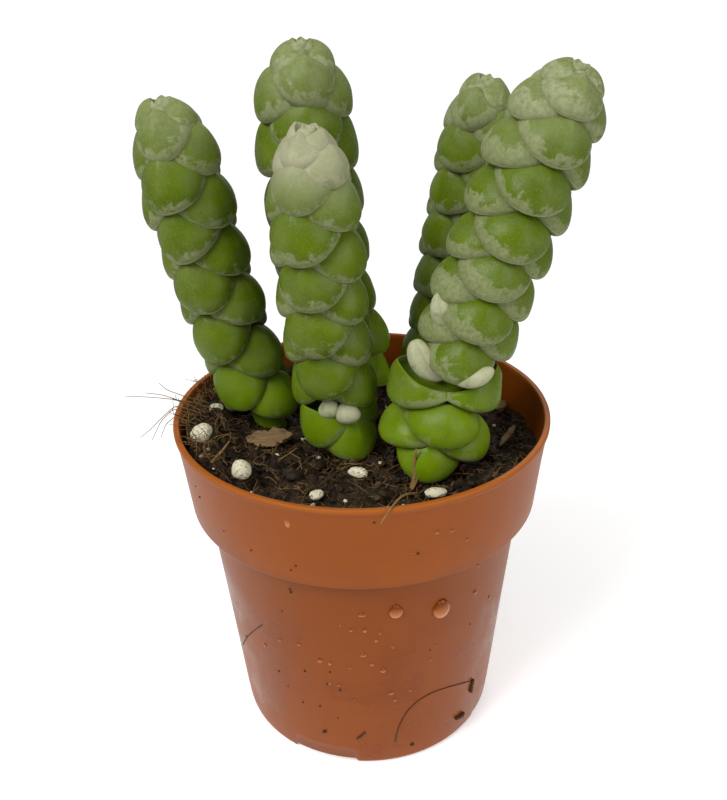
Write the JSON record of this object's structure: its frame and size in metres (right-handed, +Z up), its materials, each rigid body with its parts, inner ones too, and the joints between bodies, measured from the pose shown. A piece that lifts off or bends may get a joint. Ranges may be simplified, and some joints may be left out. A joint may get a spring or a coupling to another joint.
{
  "type": "potted crassula",
  "caption": "Columnar crassula stems of thick stacked leaf pairs standing in dark potting soil inside a round tapered nursery pot with a deep rim collar.",
  "frame": {"origin": "centre of the pot's flat base, on the pot's axis, where it stands on the surface below", "axes": "+Z up along the pot's axis, -Y towards the side seen in the picture, +X to the right in that view"},
  "size_m": [0.0904, 0.085, 0.1583],
  "materials": {
    "pot_plastic": "satin",
    "soil": "matte",
    "leaf": "satin",
    "perlite": "matte",
    "bark": "matte"
  },
  "bodies": {
    "root": {"pot": "pot_plastic", "soil": "soil", "stem_left": "leaf", "stem_front": "leaf", "stem_right": "leaf", "stem_back_left": "leaf", "stem_back_right": "leaf", "perlite_1": "perlite", "perlite_2": "perlite", "perlite_3": "perlite", "perlite_4": "perlite", "perlite_5": "perlite", "perlite_6": "perlite", "perlite_7": "perlite", "perlite_8": "perlite", "bark_flake": "bark", "bark_chip": "bark", "wood_splinter": "bark"}
  },
  "joints": []
}
